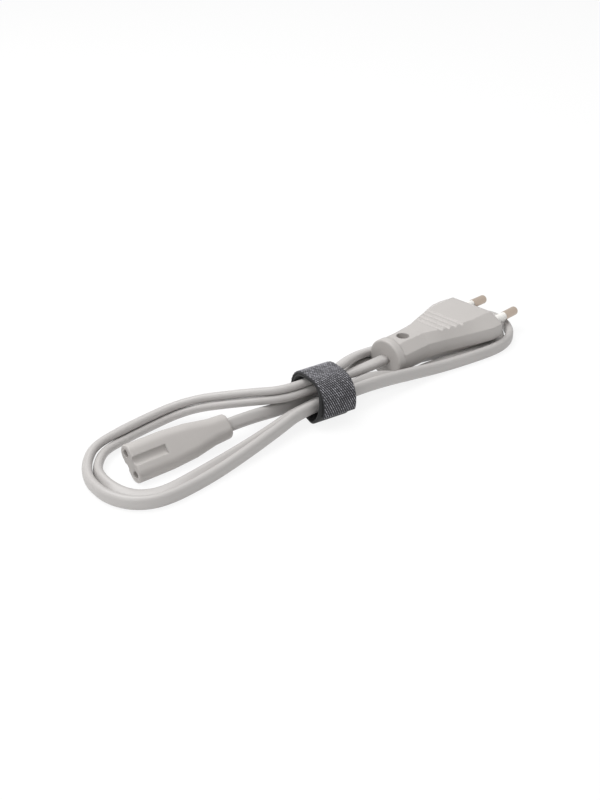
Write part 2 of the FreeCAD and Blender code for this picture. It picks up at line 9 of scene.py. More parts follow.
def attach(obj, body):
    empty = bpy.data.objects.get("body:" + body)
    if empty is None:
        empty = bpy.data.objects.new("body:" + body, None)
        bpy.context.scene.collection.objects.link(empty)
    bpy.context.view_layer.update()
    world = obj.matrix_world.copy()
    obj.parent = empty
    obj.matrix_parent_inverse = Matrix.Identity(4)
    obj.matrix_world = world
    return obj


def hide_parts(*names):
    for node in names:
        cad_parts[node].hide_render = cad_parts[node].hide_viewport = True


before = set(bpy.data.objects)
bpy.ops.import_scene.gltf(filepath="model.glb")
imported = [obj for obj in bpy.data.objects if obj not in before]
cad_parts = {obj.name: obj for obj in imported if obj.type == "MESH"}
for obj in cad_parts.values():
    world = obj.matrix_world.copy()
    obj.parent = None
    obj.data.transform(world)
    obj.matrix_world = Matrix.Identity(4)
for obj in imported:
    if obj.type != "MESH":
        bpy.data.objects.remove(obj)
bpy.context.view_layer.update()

bl_info = {
    "name": "Figure-eight mains lead",
    "version": (1, 0, 0),
    "blender": (4, 5, 0),
    "location": "View3D > Sidebar > Mains lead",
    "description": "Dresses a short mains lead: mouldings, flat cord, pins and a woven tie",
    "category": "Object",
}

MM = 0.001


def linear(code):
    """An sRGB hex colour as linear red, green, blue and alpha."""
    parts = [int(code[i:i + 2], 16) / 255 for i in (1, 3, 5)]
    return tuple(c / 12.92 if c <= 0.04045 else ((c + 0.055) / 1.055) ** 2.4 for c in parts) + (1.0,)


def put(tree, kind, feeds=None, **settings):
    """Add a node, set its properties, and set or link its inputs."""
    node = tree.nodes.new(kind)
    for name, value in settings.items():
        setattr(node, name, value)
    for socket, value in (feeds or {}).items():
        if isinstance(value, bpy.types.NodeSocket):
            tree.links.new(value, node.inputs[socket])
        else:
            node.inputs[socket].default_value = value
    return node


def colour_property(name, code):
    return FloatVectorProperty(name=name, description=name + " of the finish", subtype="COLOR",
                               size=4, min=0.0, max=1.0, default=linear(code))


def length_property(name, words, millimetres):
    return FloatProperty(name=name, description=words, default=millimetres * MM, unit="LENGTH", precision=4)


class LeadSizes(bpy.types.PropertyGroup):
    cord_width: length_property("Cord width", "Larger side of the flat cord's section", 5.4)
    cord_thickness: length_property("Cord thickness", "Smaller side of the flat cord's section", 3.4)
    strap_width: length_property("Strap width", "Width of the woven strap", 15.4)
    strap_thickness: length_property("Strap thickness", "Thickness of one lap of the strap", 1.1)
    yarn_pitch: length_property("Yarn pitch", "Distance between the strap's slanting lines of yarn", 0.95)
    camera_distance: length_property("Camera distance", "From the camera to the middle of its view", 477.67)
    camera_azimuth: FloatProperty(
        name="Camera azimuth", description="Turn of the camera about the upright",
        default=math.radians(-43.99), subtype="ANGLE")
    camera_elevation: FloatProperty(
        name="Camera elevation", description="Height of the camera above the horizon",
        default=math.radians(29.02), subtype="ANGLE")
    camera_roll: FloatProperty(
        name="Camera roll", description="Turn of the picture about the line of sight",
        default=math.radians(-0.43), subtype="ANGLE")
    camera_lens: FloatProperty(
        name="Camera lens", description="Focal length on a 36 mm sensor",
        default=54.92, unit="CAMERA")


class LeadColours(bpy.types.PropertyGroup):
    moulding: colour_property("Moulding grey", "#b2aeab")
    sheath: colour_property("Sheath grey", "#b0adab")
    strap_dark: colour_property("Strap warp", "#1c1c20")
    strap_light: colour_property("Strap weft", "#a3a2a8")
    # Near-black of the strap's back, its hook side, which is also painted on the first turn as painted
    # shade
    hook_side_and_painted_shade: colour_property("Hook side and painted shade", "#0d0d0f")
    nickel: colour_property("Nickel plate", "#b5a79a")
    sleeve: colour_property("Sleeve white", "#e9e7e3")
    brass: colour_property("Brass", "#c9a45c")
    carrier: colour_property("Carrier polyamide", "#d9d5c8")
    brown: colour_property("Brown core", "#5a3420")
    blue: colour_property("Blue core", "#2c55a0")


def sizes():
    return bpy.context.scene.lead_sizes


def colours():
    return bpy.context.scene.lead_colours


def new_material(name):
    material = bpy.data.materials.new(name)
    material.use_nodes = True
    material.node_tree.nodes.clear()
    return material, material.node_tree


def moulded_pvc():
    """Soft PVC from a spark-eroded mould: a fine matt grain, faint flow shading, no clear reflections."""
    material, tree = new_material("moulded_soft_pvc")
    place = put(tree, "ShaderNodeTexCoord").outputs["Object"]
    # Mould grit of about 0.1 mm is too fine to show, so it is drawn at 0.5 mm
    grit = put(tree, "ShaderNodeTexNoise", {
        "Vector": place, "Scale": 1 / (0.5 * MM), "Detail": 3.0, "Roughness": 0.6})
    flow = put(tree, "ShaderNodeTexNoise", {"Vector": place, "Scale": 1 / (14 * MM), "Detail": 2.0})
    base = tuple(colours().moulding)
    darker = tuple(c * 0.94 for c in base[:3]) + (1.0,)
    tint = put(tree, "ShaderNodeMix", {
        "Factor": flow.outputs["Fac"], "A": darker, "B": base}, data_type="RGBA")
    rough = put(tree, "ShaderNodeMapRange", {"Value": grit.outputs["Fac"], "To Min": 0.42, "To Max": 0.56})
    # The mould's edges are broken by about 1 mm
    soft = put(tree, "ShaderNodeBevel", {"Radius": 1.0 * MM}, samples=6)
    bump = put(tree, "ShaderNodeBump", {
        "Height": grit.outputs["Fac"], "Strength": 0.12, "Distance": 0.1 * MM,
        "Normal": soft.outputs["Normal"]})
    shader = put(tree, "ShaderNodeBsdfPrincipled", {
        "Base Color": tint.outputs["Result"], "Roughness": rough.outputs["Result"], "IOR": 1.53,
        "Normal": bump.outputs["Normal"]})
    put(tree, "ShaderNodeOutputMaterial", {"Surface": shader.outputs["BSDF"]})
    return material


def extruded_pvc():
    """Extruded PVC sheath: satin, with faint draw lines along its length and dull handling marks."""
    material, tree = new_material("extruded_pvc_sheath")
    along = put(tree, "ShaderNodeUVMap", uv_map="sheath").outputs["UV"]
    # UV is in millimetres: first along the cord, then round its section
    drawn = put(tree, "ShaderNodeMapping", {"Vector": along, "Scale": (0.02, 1.6, 1.0)})
    lines = put(tree, "ShaderNodeTexNoise", {
        "Vector": drawn.outputs["Vector"], "Scale": 1.0, "Detail": 3.0})
    handled = put(tree, "ShaderNodeTexNoise", {"Vector": along, "Scale": 0.09, "Detail": 3.0})
    base = tuple(colours().sheath)
    darker = tuple(c * 0.95 for c in base[:3]) + (1.0,)
    tint = put(tree, "ShaderNodeMix", {
        "Factor": handled.outputs["Fac"], "A": darker, "B": base}, data_type="RGBA")
    rough = put(tree, "ShaderNodeMapRange", {
        "Value": handled.outputs["Fac"], "To Min": 0.34, "To Max": 0.5})
    bump = put(tree, "ShaderNodeBump", {
        "Height": lines.outputs["Fac"], "Strength": 0.08, "Distance": 0.1 * MM})
    shader = put(tree, "ShaderNodeBsdfPrincipled", {
        "Base Color": tint.outputs["Result"], "Roughness": rough.outputs["Result"], "IOR": 1.53,
        "Normal": bump.outputs["Normal"]})
    put(tree, "ShaderNodeOutputMaterial", {"Surface": shader.outputs["BSDF"]})
    return material


def nickel_plate():
    """Nickel-plated brass pins, turned: warm grey metal with fine rings round the pin."""
    material, tree = new_material("nickel_plated_brass")
    place = put(tree, "ShaderNodeTexCoord").outputs["Object"]
    # Turning marks about 0.4 mm apart along the pin
    squeeze = put(tree, "ShaderNodeMapping", {"Vector": place, "Scale": (1 / (0.4 * MM), 30.0, 30.0)})
    rings = put(tree, "ShaderNodeTexNoise", {
        "Vector": squeeze.outputs["Vector"], "Scale": 1.0, "Detail": 2.0})
    rough = put(tree, "ShaderNodeMapRange", {"Value": rings.outputs["Fac"], "To Min": 0.26, "To Max": 0.44})
    bump = put(tree, "ShaderNodeBump", {
        "Height": rings.outputs["Fac"], "Strength": 0.15, "Distance": 0.05 * MM})
    shader = put(tree, "ShaderNodeBsdfPrincipled", {
        "Base Color": tuple(colours().nickel), "Metallic": 1.0, "Roughness": rough.outputs["Result"],
        "Normal": bump.outputs["Normal"]})
    put(tree, "ShaderNodeOutputMaterial", {"Surface": shader.outputs["BSDF"]})
    return material


def turned_brass():
    """Bare turned brass, dulled a little by handling."""
    material, tree = new_material("turned_brass")
    place = put(tree, "ShaderNodeTexCoord").outputs["Object"]
    dull = put(tree, "ShaderNodeTexNoise", {"Vector": place, "Scale": 1 / (1.5 * MM), "Detail": 3.0})
    rough = put(tree, "ShaderNodeMapRange", {"Value": dull.outputs["Fac"], "To Min": 0.25, "To Max": 0.5})
    shader = put(tree, "ShaderNodeBsdfPrincipled", {
        "Base Color": tuple(colours().brass), "Metallic": 1.0, "Roughness": rough.outputs["Result"]})
    put(tree, "ShaderNodeOutputMaterial", {"Surface": shader.outputs["BSDF"]})
    return material


def plain_moulded(name, colour, roughness, grain_mm):
    """A hard moulded plastic with a faint grain of the given size."""
    material, tree = new_material(name)
    place = put(tree, "ShaderNodeTexCoord").outputs["Object"]
    grain = put(tree, "ShaderNodeTexNoise", {"Vector": place, "Scale": 1 / (grain_mm * MM), "Detail": 2.0})
    darker = tuple(c * 0.92 for c in colour[:3]) + (1.0,)
    tint = put(tree, "ShaderNodeMix", {
        "Factor": grain.outputs["Fac"], "A": darker, "B": tuple(colour)}, data_type="RGBA")
    rough = put(tree, "ShaderNodeMapRange", {
        "Value": grain.outputs["Fac"], "To Min": roughness - 0.06, "To Max": roughness + 0.06})
    shader = put(tree, "ShaderNodeBsdfPrincipled", {
        "Base Color": tint.outputs["Result"], "Roughness": rough.outputs["Result"], "IOR": 1.55})
    put(tree, "ShaderNodeOutputMaterial", {"Surface": shader.outputs["BSDF"]})
    return material


def finish_piece(obj, slot, *nodes):
    """Hand a finished piece to the frame: it rides and stands for its CAD nodes. Its slot is not used."""
    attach(obj, "root")
    if nodes:
        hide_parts(*nodes)


def mesh_of(shape, name):
    """Make a mesh of a bmesh, and free the bmesh."""
    mesh = bpy.data.meshes.new(name)
    shape.to_mesh(mesh)
    shape.free()
    return mesh


def join_rings(shape, rings):
    """Join rings of vertices into a tube with closed ends. Gives its side faces as (row, column, face)."""
    count = len(rings[0])
    sides = []
    for row, (here, after) in enumerate(zip(rings, rings[1:])):
        for column in range(count):
            following = (column + 1) % count
            face = shape.faces.new((here[column], here[following], after[following], after[column]))
            face.smooth = True
            sides.append((row, column, face))
    shape.faces.new(reversed(rings[0]))
    shape.faces.new(rings[-1])
    return sides


def mesh_object(name, mesh, material):
    """An object of the mesh with the material, linked to the scene."""
    obj = bpy.data.objects.new(name, mesh)
    bpy.context.collection.objects.link(obj)
    mesh.materials.append(material)
    return obj


# Steps round each half-round edge of the cord's section
EDGE_STEPS = 9
# The cord's route in millimetres, and its twist in degrees: 0 stands on edge, 90 lies flat
ROUTE = [
    (-57.61, 7.13, 6.58, -43), (-47.65, 6.28, 6.58, -38), (-29.9, 4.5, 4.5, -15), (-6.1, 2.1, 5.2, 30),
    (9.0, 7.4, 6.2, 80), (20.0, 9.4, 5.0, 85), (29.0, 13.2, 1.9, 90), (44.0, 18.2, 1.75, 90),
    (61.0, 19.4, 1.75, 90), (77.2, 21.6, 1.75, 90), (89.5, 17.9, 1.9, 80), (96.0, 9.8, 2.4, 50),
    (98.3, 0.8, 2.7, 10), (95.4, -8.8, 2.7, 0), (87.7, -16.8, 2.7, 0), (76.6, -20.2, 2.7, 0),
    (61.0, -18.1, 2.7, 0), (43.0, -14.2, 2.75, 0), (25.0, -12.4, 5.4, 10), (9.0, -10.4, 7.2, 10),
    (-7.0, -10.2, 9.0, 5), (-31.0, -5.4, 6.9, 0), (-41.9, -7.0, 5.7, 0), (-57.3, -8.8, 4.3, 0),
    (-74.4, -10.5, 3.0, 0), (-88.3, -11.4, 2.7, 0), (-99.9, -11.3, 2.7, 0), (-107.4, -9.1, 2.75, 0),
    (-112.9, -3.9, 2.75, 0), (-115.7, 4.0, 2.7, 0), (-115.5, 11.8, 2.7, 0), (-113.6, 19.3, 2.7, 5),
    (-108.3, 27.6, 3.4, 25), (-100.4, 33.4, 4.7, 45), (-87.4, 34.1, 5.6, 61), (-73.4, 34.2, 6.1, 61),
    (-62.2, 32.8, 7.1, 61), (-53.6, 27.8, 8.8, 61), (-47.4, 20.8, 10.4, 61), (-40.6, 12.8, 12.2, 61),
    (-29.9, 2.5, 13.3, 61), (-6.0, 0.4, 13.8, 61), (9.0, 6.0, 11.8, 70), (25.0, 11.4, 7.2, 75),
    (42.0, 11.6, 3.9, 85), (60.0, 13.8, 1.75, 90), (76.6, 15.9, 1.75, 90), (85.4, 13.3, 1.75, 90),
    (90.4, 6.8, 1.8, 90), (91.8, -1.0, 1.8, 90), (89.5, -7.7, 1.8, 90), (84.4, -12.8, 1.75, 90),
    (76.4, -15.0, 1.75, 90), (61.0, -13.6, 1.75, 90), (43.5, -9.3, 1.75, 90), (27.0, -9.0, 1.8, 85),
    (18.0, -6.6, 4.8, 60), (8.0, -4.9, 7.1, 60), (-6.7, -6.0, 7.2, 45), (-31.8, -2.2, 4.5, 30),
    (-42.4, -3.4, 3.4, 45), (-57.9, -4.7, 2.6, 50), (-74.2, -6.1, 2.4, 55), (-86.0, -6.9, 2.3, 60),
    (-95.0, -7.0, 2.1, 70), (-102.2, -5.6, 1.9, 80), (-108.1, -1.0, 1.85, 82), (-111.1, 5.9, 2.15, 65),
    (-111.2, 13.4, 2.6, 30), (-108.7, 20.5, 2.75, 10), (-103.2, 26.6, 2.7, 25), (-97.4, 30.8, 2.5, 45),
    (-87.2, 32.4, 2.5, 61), (-73.6, 32.5, 3.0, 61), (-63.0, 31.2, 4.0, 61), (-54.9, 26.6, 5.7, 61),
    (-48.8, 19.8, 7.3, 61), (-41.8, 11.6, 9.1, 61), (-30.0, 0.9, 10.3, 61), (-6.2, -1.3, 10.8, 66),
    (13.4, 0.0, 8.4, 90), (23.4, 0.0, 8.4, 90),
]


def route_line():
    """Points along the smooth line that the route's points steer, and the twist at each."""
    curve = bpy.data.curves.new("cord_route", "CURVE")
    curve.dimensions = "3D"
    spline = curve.splines.new("NURBS")
    spline.points.add(len(ROUTE) - 1)
    for point, (x, y, z, _) in zip(spline.points, ROUTE):
        point.co = (x * MM, y * MM, z * MM, 1.0)
    spline.order_u = 3
    spline.use_endpoint_u = True
    spline.resolution_u = 10
    holder = bpy.data.objects.new("cord_route", curve)
    bpy.context.collection.objects.link(holder)
    line = bpy.data.meshes.new_from_object(holder)
    points = [v.co.copy() for v in line.vertices]
    bpy.data.objects.remove(holder)
    bpy.data.curves.remove(curve)
    bpy.data.meshes.remove(line)
    twists = []
    for index in range(len(points)):
        # Route point number k pulls the line most at k - 0.5 spans from its start
        at = index / (len(points) - 1) * (len(ROUTE) - 2) + 0.5
        low = min(max(int(at), 0), len(ROUTE) - 2)
        share = min(max(at - low, 0.0), 1.0)
        twists.append(math.radians(ROUTE[low][3] * (1 - share) + ROUTE[low + 1][3] * share))
    return points, twists


def cord_section():
    """The flat cord's outline as (across, up) pairs: two half rounds and two flat sides."""
    half = sizes().cord_thickness / 2
    rise = sizes().cord_width / 2 - half
    outline = []
    for start, middle in ((0.0, rise), (math.pi, -rise)):
        for step in range(EDGE_STEPS):
            turn = start + math.pi * step / (EDGE_STEPS - 1)
            outline.append((half * math.cos(turn), middle + half * math.sin(turn)))
    return outline


class LEAD_OT_cord(bpy.types.Operator):
    """Sweep the flat two-core cord along its folded route"""
    bl_idname = "lead.cord"
    bl_label = "Cord"

    def execute(self, context):
        points, twists = route_line()
        outline = cord_section()
        count = len(outline)
        shape = bmesh.new()
        uv_layer = shape.loops.layers.uv.new("sheath")
        rings = []
        travel = [0.0]
        for index, point in enumerate(points):
            before = points[max(index - 1, 0)]
            after = points[min(index + 1, len(points) - 1)]
            ahead = (after - before).normalized()
            side = Vector((0, 0, 1)).cross(ahead).normalized()
            up = ahead.cross(side)
            turn = Matrix.Rotation(twists[index], 3, ahead)
            side, up = turn @ side, turn @ up
            rings.append([shape.verts.new(point + side * a + up * b) for a, b in outline])
            if index:
                travel.append(travel[-1] + (point - before).length)
        around = 2 * (sizes().cord_width - sizes().cord_thickness) + math.pi * sizes().cord_thickness
        for row, column, face in join_rings(shape, rings):
            corners = ((row, column), (row, column + 1), (row + 1, column + 1), (row + 1, column))
            for loop, (along, turned) in zip(face.loops, corners):
                loop[uv_layer].uv = (travel[along] / MM, turned / count * around / MM)
        bmesh.ops.recalc_face_normals(shape, faces=shape.faces)
        obj = mesh_object("flat_cord", mesh_of(shape, "flat_cord"), extruded_pvc())
        finish_piece(obj, "cord_sheath", "cord")
        return {"FINISHED"}


def woven_strap():
    """Woven polyester strap: charcoal ground, pale yarn floats that catch light, dull black hook side on
    the back, and the same black painted on the first turn as painted shade.
    """
    material, tree = new_material("woven_polyester_strap")
    place = put(tree, "ShaderNodeTexCoord").outputs["Object"]
    # Each float carries its own tint; the back is marked as hook tape, and the first turn is marked for
    # painted shade in the same near-black
    tint = put(tree, "ShaderNodeAttribute", attribute_name="yarn_tint").outputs["Fac"]
    back = put(tree, "ShaderNodeAttribute", attribute_name="hook_side_and_painted_shade").outputs["Fac"]
    fuzz = put(tree, "ShaderNodeTexNoise", {"Vector": place, "Scale": 1 / (0.25 * MM), "Detail": 2.0})
    colour = put(tree, "ShaderNodeMix", {
        "Factor": tint, "A": tuple(colours().strap_dark), "B": tuple(colours().strap_light)},
        data_type="RGBA")
    colour = put(tree, "ShaderNodeMix", {
        "Factor": back, "A": colour.outputs["Result"], "B": tuple(colours().hook_side_and_painted_shade)}, data_type="RGBA")
    rough = put(tree, "ShaderNodeMapRange", {"Value": fuzz.outputs["Fac"], "To Min": 0.62, "To Max": 0.86})
    bump = put(tree, "ShaderNodeBump", {
        "Height": fuzz.outputs["Fac"], "Strength": 0.3, "Distance": 0.08 * MM})
    shader = put(tree, "ShaderNodeBsdfPrincipled", {
        "Base Color": colour.outputs["Result"], "Roughness": rough.outputs["Result"],
        "Sheen Weight": 0.1, "Sheen Roughness": 0.5, "Normal": bump.outputs["Normal"]})
    put(tree, "ShaderNodeOutputMaterial", {"Surface": shader.outputs["BSDF"]})
    return material


# The tie's own frame: middle of its strap on the table, turn about the upright
TIE_PLACE = (Matrix.Translation(Vector((-16.3, -3.5, 0.0)) * MM)
             @ Matrix.Rotation(math.radians(-11.0), 4, "Z"))
# Width, height and corner radius in millimetres of the opening that the strap goes round
TIE_OPENING = (19.8, 15.7, 7.3)
# Steps round each corner of the opening, and the step in millimetres along its straight sides
CORNER_STEPS = 16
SIDE_STEP = 0.8
# How many millimetres the first turn slips out to the left at the near lower corner, and where in the lap
TIE_SLIP = 2.0
SLIP_START, SLIP_LENGTH = 0.3, 0.55
# Where in the first lap the strap climbs on to its own first turn
CLIMB_START, CLIMB_LENGTH = 0.84, 0.14
# Height in millimetres at which the strap's free end stops on the near side
FREE_END_HEIGHT = 4.2
# Share of a lap's thickness that the woven ground takes, its rounded edge in millimetres, its strips across
GROUND_SHARE = 0.92
STRAP_EDGE = 0.35
STRAP_STRIPS = 8
# Plain edge in millimetres that no float reaches
SELVEDGE = 0.5
# Run of the twill's lines across the strap for each step along it
TWILL_RUN = 0.5
# A float's length and width in yarn pitches, its height in millimetres, and how its size and tint vary
FLOAT_LENGTH, FLOAT_WIDTH, FLOAT_HEIGHT = 1.25, 0.36, 0.42
FLOAT_SIZES = (0.85, 1.12)
FLOAT_TINTS = (0.45, 1.0)
FLOAT_SEED = 7


def tie_outline():
    """The opening's outline as (across, up) points with outward normals, from the far side over the top."""
    width, height, radius = TIE_OPENING
    lift = sizes().strap_thickness / MM
    corners = (
        (width / 2 - radius, lift + height - radius, 0),
        (-width / 2 + radius, lift + height - radius, 90),
        (-width / 2 + radius, lift + radius, 180),
        (width / 2 - radius, lift + radius, 270),
    )
    outline = []
    for index, (across, up, start) in enumerate(corners):
        for step in range(CORNER_STEPS + 1):
            turn = math.radians(start + 90 * step / CORNER_STEPS)
            normal = Vector((math.cos(turn), math.sin(turn)))
            outline.append((Vector((across, up)) + normal * radius, normal))
        nearer, normal = outline[-1]
        following = corners[(index + 1) % 4]
        further = Vector(following[:2]) + normal * radius
        count = max(int((further - nearer).length / SIDE_STEP), 1)
        for step in range(1, count):
            outline.append((nearer.lerp(further, step / count), normal))
    return outline


def strap_stations():
    """The strap's middle line: place, outward normal, slip to the side and rise on to the first turn."""
    thick = sizes().strap_thickness / MM
    outline = tie_outline()
    lap = len(outline)
    stations = []
    for index in range(2 * lap):
        at, normal = outline[index % lap]
        # The strap climbs on to its own first turn along the far lower corner
        climb = min(max((index - lap * CLIMB_START) / (lap * CLIMB_LENGTH), 0.0), 1.0)
        climb = climb * climb * (3 - 2 * climb)
        slip = math.sin(math.pi * min(max((index / lap - SLIP_START) / SLIP_LENGTH, 0.0), 1.0)) ** 2
        spot = at + normal * thick * (0.5 + climb)
        if index > lap and spot.x < 0 and spot.y < FREE_END_HEIGHT:
            break
        stations.append((spot, normal, -slip * TIE_SLIP, climb))
    return stations


class LEAD_OT_tie(bpy.types.Operator):
    """Wind the woven strap round the strands and lay its yarn floats"""
    bl_idname = "lead.tie"
    bl_label = "Woven tie"

    def execute(self, context):
        stations = strap_stations()
        strap = self.strap(stations)
        floats = self.floats(stations, strap.data.materials[0])
        finish_piece(strap, "woven_strap", "tie_strap")
        finish_piece(floats, "woven_strap")
        return {"FINISHED"}

    def strap(self, stations):
        """The strap's ground: a thin band with rounded edges."""
        half = sizes().strap_width / MM / 2
        thick = sizes().strap_thickness / MM * GROUND_SHARE / 2
        strips = [-half + 2 * half * step / STRAP_STRIPS for step in range(1, STRAP_STRIPS)]
        profile = [(-half + STRAP_EDGE, thick), (-half, 0.0), (-half + STRAP_EDGE, -thick)]
        profile += [(along, -thick) for along in strips]
        profile += [(half - STRAP_EDGE, -thick), (half, 0.0), (half - STRAP_EDGE, thick)]
        profile += [(-along, thick) for along in strips]
        shape = bmesh.new()
        back = shape.verts.layers.float.new("hook_side_and_painted_shade")
        rings = []
        for spot, normal, slip, climb in stations:
            ring = []
            for along, out in profile:
                flat = spot + normal * out
                vertex = shape.verts.new(TIE_PLACE @ (Vector((along + slip, flat.x, flat.y)) * MM))
                # The back face is hook tape; the whole first turn also gets the near-black as painted shade
                # where the outer turn shades it
                vertex[back] = 1.0 if out < 0 or climb < 0.5 else 0.0
                ring.append(vertex)
            rings.append(ring)
        join_rings(shape, rings)
        bmesh.ops.recalc_face_normals(shape, faces=shape.faces)
        return mesh_object("woven_tie", mesh_of(shape, "woven_tie"), woven_strap())

    def floats(self, stations, material):
        """Yarn floats in slanting rows on the outer turn's outer face, laid by a node group."""
        half = sizes().strap_width / MM / 2 - SELVEDGE
        pitch = sizes().yarn_pitch / MM
        thick = sizes().strap_thickness / MM * GROUND_SHARE / 2
        shape = bmesh.new()
        facing = shape.verts.layers.float_vector.new("facing")
        travel = 0.0
        rows = 0
        outer = [(spot, normal) for spot, normal, _, climb in stations if climb > 0.5]
        for (last, _), (spot, normal) in zip(outer, outer[1:]):
            step = (spot - last).length
            while rows * pitch < travel + step:
                middle = last.lerp(spot, (rows * pitch - travel) / step) + normal * thick
                # Each row of floats starts further along, so the floats line up in a slanting twill
                first = -half + (rows * pitch * TWILL_RUN) % pitch
                for column in range(int((half - first) / pitch) + 1):
                    at = Vector((first + column * pitch, middle.x, middle.y))
                    vertex = shape.verts.new(TIE_PLACE @ (at * MM))
                    vertex[facing] = TIE_PLACE.to_3x3() @ Vector((0.0, normal.x, normal.y))
                rows += 1
            travel += step
        holder = bpy.data.objects.new("float_points", mesh_of(shape, "float_points"))
        bpy.context.collection.objects.link(holder)
        group = float_group()
        modifier = holder.modifiers.new("Floats", "NODES")
        modifier.node_group = group
        across = TIE_PLACE.to_3x3() @ Vector((1.0, 0.0, 0.0))
        settings = {
            "Float Length": pitch * FLOAT_LENGTH * MM, "Float Width": pitch * FLOAT_WIDTH * MM,
            "Across": tuple(across), "Slant": math.atan2(-1.0, TWILL_RUN), "Seed": FLOAT_SEED,
            "Material": material,
        }
        for item in group.interface.items_tree:
            if item.item_type == "SOCKET" and item.in_out == "INPUT" and item.name in settings:
                modifier[item.identifier] = settings[item.name]
        laid = bpy.data.meshes.new_from_object(holder.evaluated_get(bpy.context.evaluated_depsgraph_get()))
        holder.modifiers.remove(modifier)
        bpy.data.objects.remove(holder)
        laid.name = "yarn_floats"
        floats = bpy.data.objects.new("yarn_floats", laid)
        bpy.context.collection.objects.link(floats)
        return floats


def float_group():
    """Node group: a low rounded float on each point, turned to the strap's face, with its own tint."""
    group = bpy.data.node_groups.new("yarn_floats", "GeometryNodeTree")
    sockets = (("Geometry", "NodeSocketGeometry"), ("Float Length", "NodeSocketFloat"),
               ("Float Width", "NodeSocketFloat"), ("Across", "NodeSocketVector"),
               ("Slant", "NodeSocketFloat"), ("Seed", "NodeSocketInt"), ("Material", "NodeSocketMaterial"))
    for name, kind in sockets:
        group.interface.new_socket(name, in_out="INPUT", socket_type=kind)
    group.interface.new_socket("Geometry", in_out="OUTPUT", socket_type="NodeSocketGeometry")
    given = put(group, "NodeGroupInput").outputs
    facing = put(group, "GeometryNodeInputNamedAttribute", {"Name": "facing"}, data_type="FLOAT_VECTOR")
    upright = put(group, "FunctionNodeAlignRotationToVector", {
        "Vector": facing.outputs["Attribute"]}, axis="Z")
    turned = put(group, "FunctionNodeAlignRotationToVector", {
        "Rotation": upright.outputs["Rotation"], "Vector": given["Across"]}, axis="X", pivot_axis="Z")
    slant = put(group, "FunctionNodeAxisAngleToRotation", {
        "Axis": (0.0, 0.0, 1.0), "Angle": given["Slant"]})
    slanted = put(group, "FunctionNodeRotateRotation", {
        "Rotation": turned.outputs["Rotation"], "Rotate By": slant.outputs["Rotation"]},
        rotation_space="LOCAL")
    size = put(group, "ShaderNodeCombineXYZ", {
        "X": given["Float Length"], "Y": given["Float Width"], "Z": FLOAT_HEIGHT * MM})
    # A random number's sockets 2 and 3 are its lowest and highest value, and its output 1 is the number
    vary = put(group, "FunctionNodeRandomValue", {
        2: FLOAT_SIZES[0], 3: FLOAT_SIZES[1], "Seed": given["Seed"]}, data_type="FLOAT")
    sized = put(group, "ShaderNodeVectorMath", {
        0: size.outputs["Vector"], 3: vary.outputs[1]}, operation="SCALE")
    bead = put(group, "GeometryNodeMeshUVSphere", {"Segments": 6, "Rings": 4, "Radius": 0.5})
    laid = put(group, "GeometryNodeInstanceOnPoints", {
        "Points": given["Geometry"], "Instance": bead.outputs["Mesh"],
        "Rotation": slanted.outputs["Rotation"], "Scale": sized.outputs["Vector"]})
    pale = put(group, "FunctionNodeRandomValue", {
        2: FLOAT_TINTS[0], 3: FLOAT_TINTS[1], "Seed": given["Seed"]}, data_type="FLOAT")
    tinted = put(group, "GeometryNodeStoreNamedAttribute", {
        "Geometry": laid.outputs["Instances"], "Name": "yarn_tint", "Value": pale.outputs[1]},
        data_type="FLOAT", domain="INSTANCE")
    real = put(group, "GeometryNodeRealizeInstances", {"Geometry": tinted.outputs["Geometry"]})
    smooth = put(group, "GeometryNodeSetShadeSmooth", {"Geometry": real.outputs["Geometry"]})
    dressed = put(group, "GeometryNodeSetMaterial", {
        "Geometry": smooth.outputs["Geometry"], "Material": given["Material"]})
    put(group, "NodeGroupOutput", {"Geometry": dressed.outputs["Geometry"]})
    return group


class LEAD_OT_mouldings(bpy.types.Operator):
    """Finish the connector's and the plug's mouldings and what they hold"""
    bl_idname = "lead.mouldings"
    bl_label = "Mouldings and metal"

    def execute(self, context):
        grey = moulded_pvc()
        nickel = nickel_plate()
        brass = turned_brass()
        sleeve = plain_moulded("sleeve_pbt", colours().sleeve, 0.35, 1.0)
        carrier = plain_moulded("carrier_polyamide", colours().carrier, 0.5, 1.5)
        brown = plain_moulded("brown_core_pvc", colours().brown, 0.4, 2.0)
        blue = plain_moulded("blue_core_pvc", colours().blue, 0.4, 2.0)
        finishes = {
            "connector_body": grey, "plug_body": grey,
            "connector_contact_carrier": carrier, "plug_pin_bridge": carrier,
            "connector_contact_near": brass, "connector_contact_far": brass,
            "plug_pin_near": nickel, "plug_pin_far": nickel,
            "pin_sleeve_near": sleeve, "pin_sleeve_far": sleeve,
            "connector_core_brown": brown, "plug_core_brown": brown,
            "connector_core_blue": blue, "plug_core_blue": blue,
        }
        for name, material in finishes.items():
            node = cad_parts[name]
            node.data.materials.clear()
            node.data.materials.append(material)
        return {"FINISHED"}


# Half the floor's side in metres
FLOOR_HALF = 4.0
# Share of the floor that the camera sees as plain white; the rest takes light and keeps the shadow
FLOOR_WHITE = 0.86
# Strength of the white surroundings as a light, and as the camera sees them
FILL_LIGHT, WHITE_BACKGROUND = 0.45, 1.0
# Each lamp's place in metres, side in metres and power in watts
LAMPS = {
    "overhead_softbox": ((-0.1, 0.3, 0.9), 0.8, 9.0),
    "side_softbox": ((-0.8, -0.2, 0.6), 0.6, 2.6),
}
# The point of the hank, in millimetres, that is seen at the middle of the picture
CAMERA_TARGET = (-26.03, -0.32, 8.4)


